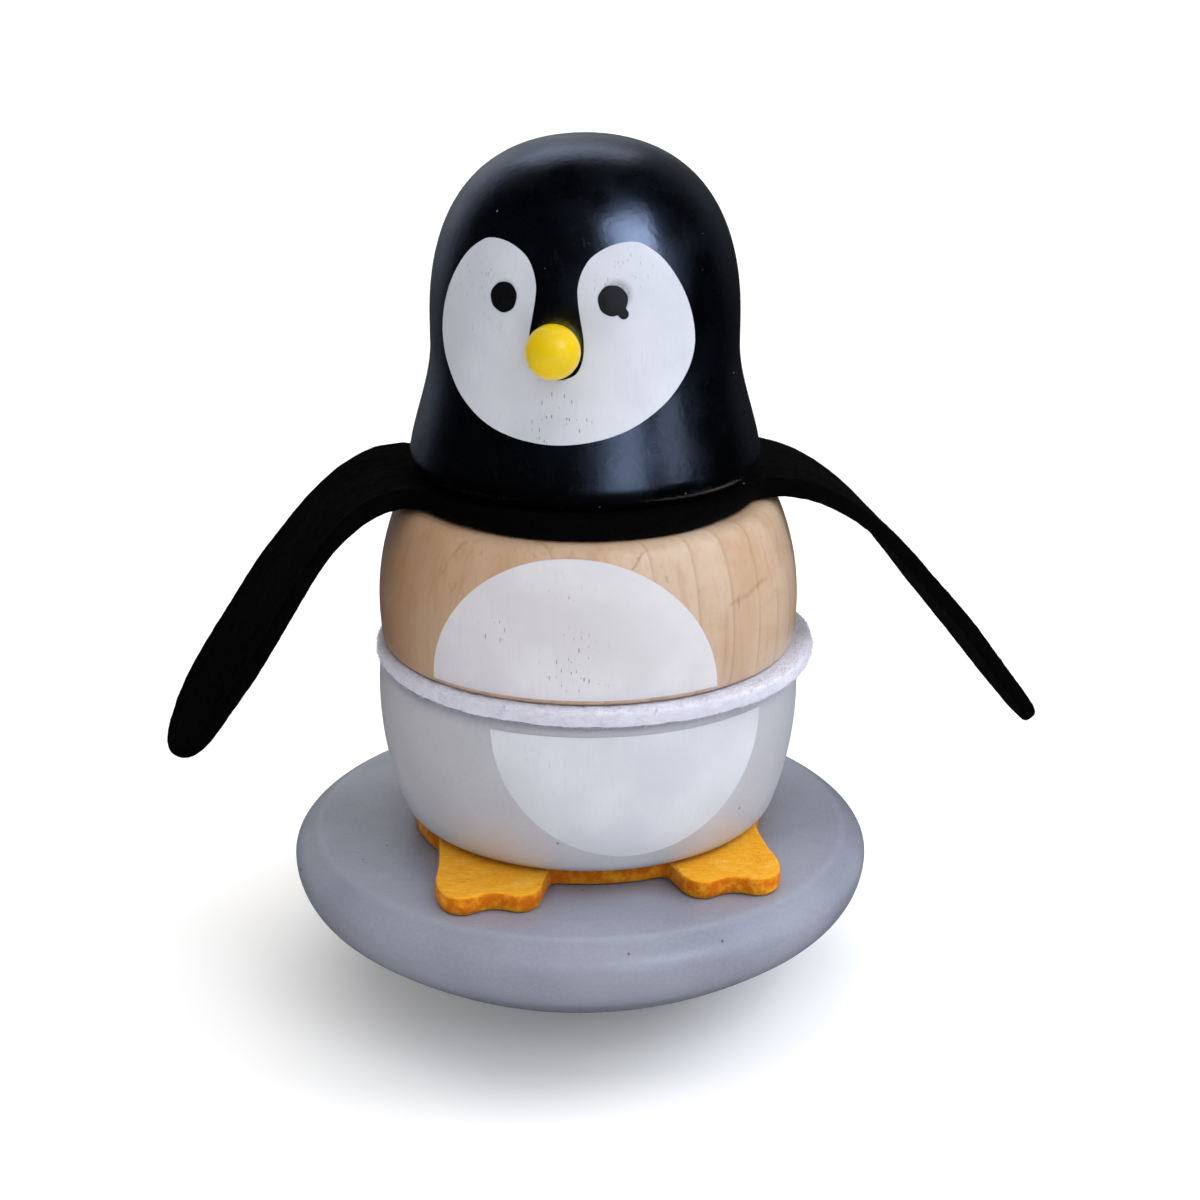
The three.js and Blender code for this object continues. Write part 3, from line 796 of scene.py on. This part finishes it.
# The two halves of the belly, one on each ring, which are turned apart: half width, how far the bow
# rises from its straight edge, that edge's height, and the bow's order
half = np.linspace(0, math.pi, 120)
for name, wide, rise, level, order, side, height, *finish in (
    ("upper_belly_print", 20.3, 20, 0.9, 1, upper_side, UPPER_Z,
     belly_ink, "upper", "clear_wood", -4.2),
    ("lower_belly_print", 19.8, -19.8, 23.2, -1, lower_side, LOWER_Z,
     pale_ink, "lower", "grey_paint", 12.9),
):
    bow = (ways(half) * (wide, rise) + (0, level))[::order]
    belly = np.vstack([bow, line(bow[-1], bow[0], 60)[1:-1]])
    ink_layer(name, belly, side, BODY_SEAT, height, *finish, across="flat")


# Felt sheets

STEP = 0.36
FELT_HOLE = 9.5


def smoothstep(t):
    return t * t * (3 - 2 * t)


def resampled(outline):
    """A closed outline with points at equal steps along it."""
    loop = np.vstack([outline, outline[:1]])
    gone = np.concatenate([[0], np.cumsum(np.linalg.norm(np.diff(loop, axis=0), axis=1))])
    at = np.linspace(0, gone[-1], int(gone[-1] / STEP), endpoint=False)
    return np.stack([np.interp(at, gone, loop[:, k]) for k in (0, 1)], 1)


def softened(outline, reach):
    """The outline with its sharp inward corners rounded."""
    width = int(4 * reach / STEP)
    kernel = np.exp(-0.5 * (np.arange(-width, width + 1) * STEP / reach) ** 2)
    kernel /= kernel.sum()
    padded = np.vstack([outline[-width:], outline, outline[:width]])
    smooth = np.stack([np.convolve(padded[:, k], kernel, "valid") for k in (0, 1)], 1)
    ahead = np.roll(outline, -3, 0) - outline
    back = outline - np.roll(outline, 3, 0)
    turn = back[:, 0] * ahead[:, 1] - back[:, 1] * ahead[:, 0]
    inward = np.convolve(np.r_[turn[-width:], turn, turn[:width]] < -0.02, kernel, "valid")
    share = np.clip(inward * 6, 0, 1)[:, None]
    return outline * (1 - share) + smooth * share


def felt_rows(outline, hole, rings, edge, thickness):
    """A sheet with a round hole, as a net of rows that closes on itself: over the top, round the
    cut edge and back below. Gives its points, and how many rows and columns it has. Thickness is
    a number or a function of place."""
    ahead = np.roll(outline, -1, 0) - np.roll(outline, 1, 0)
    out = np.stack([ahead[:, 1], -ahead[:, 0]], 1)
    out /= np.linalg.norm(out, axis=1)[:, None]
    inset = outline - out * edge
    inner = outline / np.linalg.norm(outline, axis=1)[:, None] * hole
    shares = 1 - (1 - np.linspace(0, 1, rings)) ** 1.35
    flat = [inner + (inset - inner) * s for s in shares]
    rows = [(p, np.ones(len(p))) for p in flat]
    for angle in np.linspace(90, -90, 11)[1:-1]:
        c, s = math.cos(math.radians(angle)), math.sin(math.radians(angle))
        level = math.copysign(abs(s) ** 0.7, s)
        rows.append((inset + out * edge * c**0.7, np.full(len(inset), level)))
    rows += [(p, -np.ones(len(p))) for p in flat[::-1]]
    at = thickness if callable(thickness) else lambda place: thickness
    points = np.vstack([np.column_stack([p, 0.5 * h * at(p)]) for p, h in rows])
    return points, (len(rows), len(outline))


def net_faces(rows, columns):
    faces = []
    for r in range(rows):
        below = ((r + 1) % rows) * columns
        for k in range(columns):
            n = (k + 1) % columns
            faces.append([r * columns + k, below + k, below + n, r * columns + n])
    return faces


def matted(points, rows, columns, amount, seed):
    """A net's points, moved along its normals by clumpy noise."""
    net = points.reshape(rows, columns, 3)
    across = np.roll(net, -1, 1) - np.roll(net, 1, 1)
    along = np.roll(net, -1, 0) - np.roll(net, 1, 0)
    normal = np.cross(along, across).reshape(-1, 3)
    normal = normal / np.maximum(np.linalg.norm(normal, axis=1), 1e-9)[:, None]
    push = 0.6 * rough(points, 1.5, seed) + 0.4 * rough(points, 0.6, seed + 1)
    return points + normal * (amount * push)[:, None]


# Fibres: sides, rings along one, how far they start below the surface, and their scatter
FIBRE_SIDES, FIBRE_RINGS, FIBRE_ROOT, FIBRE_SCATTER = 3, 5, 0.12, 0.12


def loose_fibres(name, sheet, count, longest, thick, seed, material, body, slot, seat, beyond):
    """Fine curved fibres that stand out of a felt's surface, beyond a radius from its seat."""
    rng = np.random.default_rng(seed)
    mesh = sheet.data
    total = len(mesh.polygons)
    centre, normal, area = np.zeros(total * 3), np.zeros(total * 3), np.zeros(total)
    for key, values in (("center", centre), ("normal", normal), ("area", area)):
        mesh.polygons.foreach_get(key, values)
    centre, normal = centre.reshape(-1, 3) / MM, normal.reshape(-1, 3)
    weight = area * (np.hypot(centre[:, 0] - seat[0], centre[:, 1] - seat[1]) > beyond)
    chosen = rng.choice(total, count, p=weight / weight.sum())
    start = centre[chosen] + rng.normal(0, FIBRE_SCATTER, (count, 3))
    up = normal[chosen]
    aside = np.cross(up, rng.normal(0, 1, (count, 3)))
    aside /= np.linalg.norm(aside, axis=1)[:, None]
    curl = np.cross(up, aside) * rng.normal(0, 0.5, (count, 1))
    length = longest * rng.uniform(0.35, 1, (count, 1))
    lean = rng.uniform(0.3, 1.3, (count, 1))
    thick = thick * rng.uniform(0.6, 1.1, (count, 1))
    rings = []
    for t in np.linspace(0, 1, FIBRE_RINGS):
        way = up * (1 - 0.45 * t) + aside * lean * t + curl * t * t
        spine = start - up * FIBRE_ROOT + length * t * way * 0.75
        width = thick * (1 - 0.75 * t)
        for corner in range(FIBRE_SIDES):
            turn = corner * 2 * math.pi / FIBRE_SIDES
            across = aside * math.cos(turn) + np.cross(up, aside) * math.sin(turn)
            rings.append(spine + width * across)
    points = np.stack(rings, 1).reshape(-1, 3)
    block = []
    for low in range(0, FIBRE_SIDES * (FIBRE_RINGS - 1), FIBRE_SIDES):
        high = low + FIBRE_SIDES
        for k in range(FIBRE_SIDES):
            n = (k + 1) % FIBRE_SIDES
            block.append([low + k, low + n, high + n, high + k])
    first = len(rings) * np.arange(count)[:, None, None]
    faces = (np.array(block)[None] + first).reshape(-1, 4).tolist()
    return piece(name, points, faces, material, body, (), slot)


# Feet: an oval washer with two webbed feet, cut from one sheet
OVAL_ACROSS, OVAL_DEEP = 27.5, 25.5
FOOT_SPREAD, TOE, HEEL, HEEL_AT = 17.6, 7.9, 6.8, -12.75
FOOT_REACHES = ((-1, 31.9), (1, 30.9))
FEET_THICKNESS, FEET_EDGE, FEET_MIDDLE = 2.86, 0.5, 1.45


def foot_outline(reach):
    """A foot about its own middle line: straight sides, square toes and a shallow notch."""
    side, toe = (-TOE, 6.5 - reach), (-3.6, -0.6 - reach)
    outside = bezier([(-HEEL, HEEL_AT), (-HEEL, -20), side], 24)
    corner = bezier([side, (-TOE - 0.3, 1.2 - reach), (-6, -0.7 - reach), toe], 30)
    notch = bezier([toe, (-2.4, -0.5 - reach), (-1.8, 0.7 - reach), (0, 0.7 - reach)], 24)
    left = np.vstack([outside, corner, notch])
    return np.vstack([left, (left * (-1, 1))[::-1]])


def farthest(outline, angle):
    """How far a closed outline reaches from the origin at each angle, or 0."""
    a, b = outline, np.roll(outline, -1, 0)
    ray = ways(angle)
    cross_a = ray[:, :1] * a[:, 1] - ray[:, 1:] * a[:, 0]
    cross_b = ray[:, :1] * b[:, 1] - ray[:, 1:] * b[:, 0]
    share = cross_a / np.where(np.abs(cross_a - cross_b) > 1e-12, cross_a - cross_b, 1)
    met = a[None] + share[..., None] * (b - a)[None]
    far = (met * ray[:, None]).sum(2)
    return np.where((cross_a * cross_b <= 0) & (far > 0), far, 0).max(1)


angle = np.linspace(0, 2 * math.pi, 3600, endpoint=False)
circle = ways(angle)
reach = OVAL_ACROSS * OVAL_DEEP / np.hypot(OVAL_DEEP * circle[:, 0], OVAL_ACROSS * circle[:, 1])
for side, length in FOOT_REACHES:
    reach = np.maximum(reach, farthest(foot_outline(length) + (side * FOOT_SPREAD, 0), angle))
outline = softened(resampled(reach[:, None] * circle), 0.7)
points, net = felt_rows(outline, FELT_HOLE, 34, FEET_EDGE, FEET_THICKNESS)
points = matted(points + (0, 0, FEET_MIDDLE), *net, 0.07, 3)
# The toes sink until they lie on the base
free = np.clip((np.hypot(points[:, 0], points[:, 1]) - 27) / 6, 0, 1)
points[:, 2] += free * (0.1 * rough(points, 9, 5) - 0.2)
points = seated(points, FEET_SEAT, FEET_Z)
feet = piece(
    "feet_sheet", points, net_faces(*net), orange_felt, "feet", ["feet_felt"], "orange_felt"
)

# Belt: a washer that is nipped between the rings and puffs up at its lip
BELT_RADIUS, BELT_THICKNESS, BELT_EDGE, BELT_MIDDLE = 33.4, 2.58, 1.6, 1.2
LIP_FROM, LIP_WIDTH = 28.5, 3
ragged = BELT_RADIUS + 0.16 * rough(np.column_stack([9 * circle, 0 * angle]), 1.6, 8)
outline = resampled(ragged[:, None] * circle)
points, net = felt_rows(outline, FELT_HOLE, 34, BELT_EDGE, BELT_THICKNESS)
points = points + (0, 0, BELT_MIDDLE)
lip = np.clip((np.hypot(points[:, 0], points[:, 1]) - LIP_FROM) / LIP_WIDTH, 0, 1)
points = matted(points, *net, 0.11 + 0.1 * lip, 13)
points[:, 2] += lip**2 * (0.2 * rough(points * (1, 1, 0), 8, 15) + 0.2)
points = seated(points, BELT_SEAT, BELT_Z)
belt = piece("belt_sheet", points, net_faces(*net), pale_felt, "belt", ["belt_felt"], "pale_felt")

# Wings: a collar and two hanging strips, cut from one sheet
COLLAR, COLLAR_HOLE, COLLAR_MIDDLE, WINGS_EDGE = 27.5, 10.3, 1.6, 0.8
WING_WIDTH, TIP_WIDTH, TAPER, TIP_ROUND, TWIST_LENGTH = 22.7, 14.5, 32, 9, 48
Wing = namedtuple("Wing", "direction length droop bend twist root")
WINGS = (Wing(-1, 90.8, 52.4, 15.6, -7, 2.4), Wing(183, 84.4, 57.3, 11.5, -16.5, 4.6))


def wing_thickness(place):
    """The felt is pressed under the head, puffs up before it and thins out along the wings."""
    aside = np.abs(place[:, 0])
    far = np.clip((aside - 27) / 18, 0, 1)
    lip = np.clip((-place[:, 1] - 22) / 4, 0, 1) * np.clip((26 - aside) / 6, 0, 1)
    return 3.0 - 0.75 * smoothstep(far) + 0.6 * lip


def wing_edge(wing, back):
    """One long edge of a flat wing, from the collar to the tip, as length and half width.
    The back edge flares at its root."""
    root = math.sqrt(COLLAR**2 - WING_WIDTH**2 / 4)
    round_from = wing.length - TIP_ROUND
    tip = wing.length - TIP_ROUND * (1 - np.sin(np.linspace(0, math.pi / 2, 40)))
    along = np.concatenate([np.linspace(root, round_from, 120), tip])
    t = np.clip((along - wing.length + TAPER) / TAPER, 0, 1)
    width = WING_WIDTH + (TIP_WIDTH - WING_WIDTH) * smoothstep(t)
    into = np.clip((along - wing.length + TIP_ROUND) / TIP_ROUND, 0, 1)
    half = width / 2 * np.sqrt(np.maximum(0, 1 - into**2))
    hem = np.stack([along, half, 0 * along], 1)
    half = half + back * wing.root * np.exp(-(((along - root) / 8) ** 2))
    ragged = 0.16 * rough(hem + (0, 40 * back, 0), 3.2, 33) * np.clip((along - root) / 10, 0, 1)
    return np.stack([along, half + ragged * np.clip(half / 4, 0, 1)], 1)


def hung(points, wing):
    """A wing's points, carried from the flat sheet to the way it hangs."""
    heading = math.radians(wing.direction)
    out = np.array([math.cos(heading), math.sin(heading), 0])
    across = np.array([-math.sin(heading), math.cos(heading), 0])
    up = np.array([0, 0, 1.0])
    along = points @ out
    mine = along > COLLAR
    s = np.linspace(COLLAR, wing.length + 2, 400)
    hanging = s - COLLAR
    droop = math.radians(wing.droop) * np.tanh(hanging / wing.bend)
    twist = math.radians(wing.twist) * np.minimum(1, hanging / TWIST_LENGTH)
    ahead = out * np.cos(droop)[:, None] - up * np.sin(droop)[:, None]
    over = np.cross(ahead, across)
    side = across * np.cos(twist)[:, None] + over * np.sin(twist)[:, None]
    normal = np.cross(ahead, side)
    step = s[1] - s[0]
    spine = out * COLLAR + np.vstack([np.zeros(3), np.cumsum(ahead[:-1] * step, 0)])

    def at(track):
        return np.stack([np.interp(along[mine], s, track[:, k]) for k in range(3)], 1)

    v = (points[mine] @ across)[:, None]
    free = np.clip((along[mine] - COLLAR) / 18, 0, 1)[:, None]
    ripple = 0.3 * rough(points[mine] * (1, 1, 0), 13, 29)[:, None]
    w = points[mine][:, 2:] + free * ripple
    made = points.copy()
    made[mine] = at(spine) + at(side) * v + at(normal) * w
    return made


corner = math.degrees(math.asin(WING_WIDTH / 2 / COLLAR))
stretches = []
for k, wing in enumerate(WINGS):
    first, second = wing_edge(wing, k), wing_edge(wing, 1 - k)
    hem = np.vstack([first * (1, -1), second[-2::-1]])
    hem = np.column_stack([hem, 0 * hem[:, 0]])
    stretches.append(seated(hem, (0, 0, wing.direction), 0)[:, :2])
    start = wing.direction + corner
    stop = WINGS[1 - k].direction - corner + (360 if k else 0)
    collar = np.radians(np.linspace(start, stop, 200)[1:-1])
    lip = COLLAR + (2.5 * np.maximum(0, -np.sin(collar)) ** 3)
    stretches.append(lip[:, None] * ways(collar))
outline = softened(resampled(np.vstack(stretches)), 1.7)
points, net = felt_rows(outline, COLLAR_HOLE, 62, WINGS_EDGE, wing_thickness)
points = matted(points, *net, 0.1, 23)
for wing in WINGS:
    points = hung(points, wing)
front = np.clip((-points[:, 1] - 19) / 8, 0, 1) * (np.abs(points[:, 0]) < 24)
points[:, 2] += COLLAR_MIDDLE + 0.1 * front
points = seated(points, WINGS_SEAT, WINGS_Z)
wings = piece(
    "wings_sheet", points, net_faces(*net), black_felt, "wings", ["wings_felt"], "black_felt"
)

# Each felt's fibres: their number, longest length, thickness and seed
feet_fuzz = loose_fibres(
    "feet_fuzz", feet, 4200, 1.0, 0.034, 41, orange_felt, "feet", "orange_felt", FEET_SEAT, 24
)
belt_fuzz = loose_fibres(
    "belt_fuzz", belt, 14000, 1.1, 0.042, 42, pale_felt, "belt", "pale_felt", BELT_SEAT, 31
)
wings_fuzz = loose_fibres(
    "wings_fuzz", wings, 9000, 1.0, 0.03, 43, black_felt, "wings", "black_felt", WINGS_SEAT, 24.5
)


# Floor, light and camera, in metres

# The floor glows a little, and more far off to the sides and the front
look = Look("floor", Specular_IOR_Level=0.1, Emission_Color=(1, 1, 1, 1))
ahead = look.vector("MINIMUM", look.place, (9, 0, 0))
glow = look.band(look.vector("LENGTH", ahead, result="Value"), 0.6, 1.5, 0.14, 0.8)
look.feed(look.shader.inputs["Emission Strength"], glow)
floor_tone = look.mix(look.noise(3, 2), rgb(244, 244, 244), rgb(247, 247, 247))

# It sweeps up behind the toy
SWEEP_FROM, SWEEP_RADIUS = 0.55, 0.5
bend = arc((SWEEP_FROM, SWEEP_RADIUS), SWEEP_RADIUS, -math.pi / 2, 0, 24)[1:]
wall_top = (SWEEP_FROM + SWEEP_RADIUS, 1.6)
sweep = np.vstack([line((-1.6, 0), (SWEEP_FROM, 0), 3), bend, [wall_top]])
corners = [(x, y, z) for y, z in sweep for x in (-2, 2)]
faces = [(2 * k, 2 * k + 1, 2 * k + 3, 2 * k + 2) for k in range(len(sweep) - 1)]
floor = smooth_object("floor", corners, faces, look.done(floor_tone, 0.9))
floor.visible_glossy = False

# A pale wall all round that lights nothing, so that no side has a dark horizon
look = Look("surround", Emission_Strength=1.0)
rise = look.band(look.axis("Z"), -0.5, 1.2)
wall_tone = look.mix(rise, rgb(240, 240, 240), rgb(248, 248, 248))
look.feed(look.shader.inputs["Emission Color"], wall_tone)
points, faces = revolved([(2.9, -1.5), (2.9, 1.6), (2.4, 2.6), (0, 3)], 96)
surround = smooth_object("surround", points.tolist(), faces, look.done((0, 0, 0, 1), 1.0))
surround.visible_diffuse = surround.visible_glossy = False
surround.visible_transmission = surround.visible_shadow = False

# The room: dark in front and overhead, pale behind, most so on the left
world = bpy.data.worlds.new("studio")
world.use_nodes = True
bpy.context.scene.world = world
room = Nodes(world.node_tree)
outward = room.add("ShaderNodeTexCoord").outputs["Generated"]
heading = room.add("ShaderNodeSeparateXYZ", {0: outward}).outputs
behind = room.band(heading["Y"], 0.35, 0.85, 0.007, 0.54)
leftward = room.band(heading["X"], -0.15, 0.4, 1.0, 0.2)
low_down = room.band(heading["Z"], 0.55, 0.92, 1.0, 0.05)
floorward = room.band(heading["Z"], -0.3, 0.35, 0.14, 1.0)
backdrop = room.tree.nodes["Background"].inputs
strength = room.times(room.times(behind, leftward), room.times(low_down, floorward))
room.feed(backdrop["Strength"], strength)
room.feed(backdrop["Color"], (0.96, 0.98, 1.0, 1))


def soft_light(name, place, target, size, power, colour, mirrored=True):
    """A rectangular softbox. One that isn't mirrored doesn't show in the toy's gloss."""
    data = bpy.data.lights.new(name, "AREA")
    data.shape = "RECTANGLE"
    data.size, data.size_y = size
    data.energy = power
    data.color = colour
    lamp = bpy.data.objects.new(name, data)
    lamp.location = place
    way = Vector(target) - Vector(place)
    lamp.rotation_euler = way.to_track_quat("-Z", "Y").to_euler()
    lamp.visible_glossy = mirrored
    bpy.context.scene.collection.objects.link(lamp)


MIDDLE = (0, 0, 0.07)
DAYLIGHT = (0.88, 0.945, 1.045)
WARM = (1.0, 0.98, 0.96)
soft_light("window", (0.52, -0.53, 0.67), MIDDLE, (0.5, 0.5), 2.35, DAYLIGHT)
soft_light("low_window", (0.42, -0.86, 0.2), (0, 0, 0.08), (0.4, 0.4), 0.52, (0.88, 0.95, 1.05))
soft_light("side_window", (0.83, -0.46, 0.27), MIDDLE, (0.3, 0.35), 0.18, (0.94, 0.97, 1.02))
soft_light("skylight", (-0.05, 0.7, 0.85), MIDDLE, (0.7, 0.4), 0.42, (1.0, 1.0, 1.0))
soft_light("right", (0.75, 0.05, 0.7), (0, 0, 0.05), (0.5, 0.6), 4.2, (0.95, 0.98, 1.03), False)
soft_light("ceiling", (0, 0.2, 1.4), (0, 0.15, 0), (2.0, 1.8), 18.0, (1.0, 0.98, 0.95), False)
soft_light("fill", (-0.1, -0.93, 0.75), (0, 0, 0.06), (0.9, 0.7), 3.4, WARM, False)

# The camera, as fitted to the turned pieces' edges: tilt from straight down, and roll
TILT, ROLL = 70.59, 0.15
camera_data = bpy.data.cameras.new("camera")
camera_data.sensor_width = 36
camera_data.lens = 61.98
camera = bpy.data.objects.new("camera", camera_data)
camera.location = (0.0030, -0.2987, 0.16594)
aim = Matrix.Rotation(math.radians(TILT), 3, "X") @ Matrix.Rotation(math.radians(ROLL), 3, "Z")
camera.rotation_euler = aim.to_euler()
bpy.context.scene.collection.objects.link(camera)
bpy.context.scene.camera = camera

bpy.context.scene.view_settings.view_transform = "Standard"
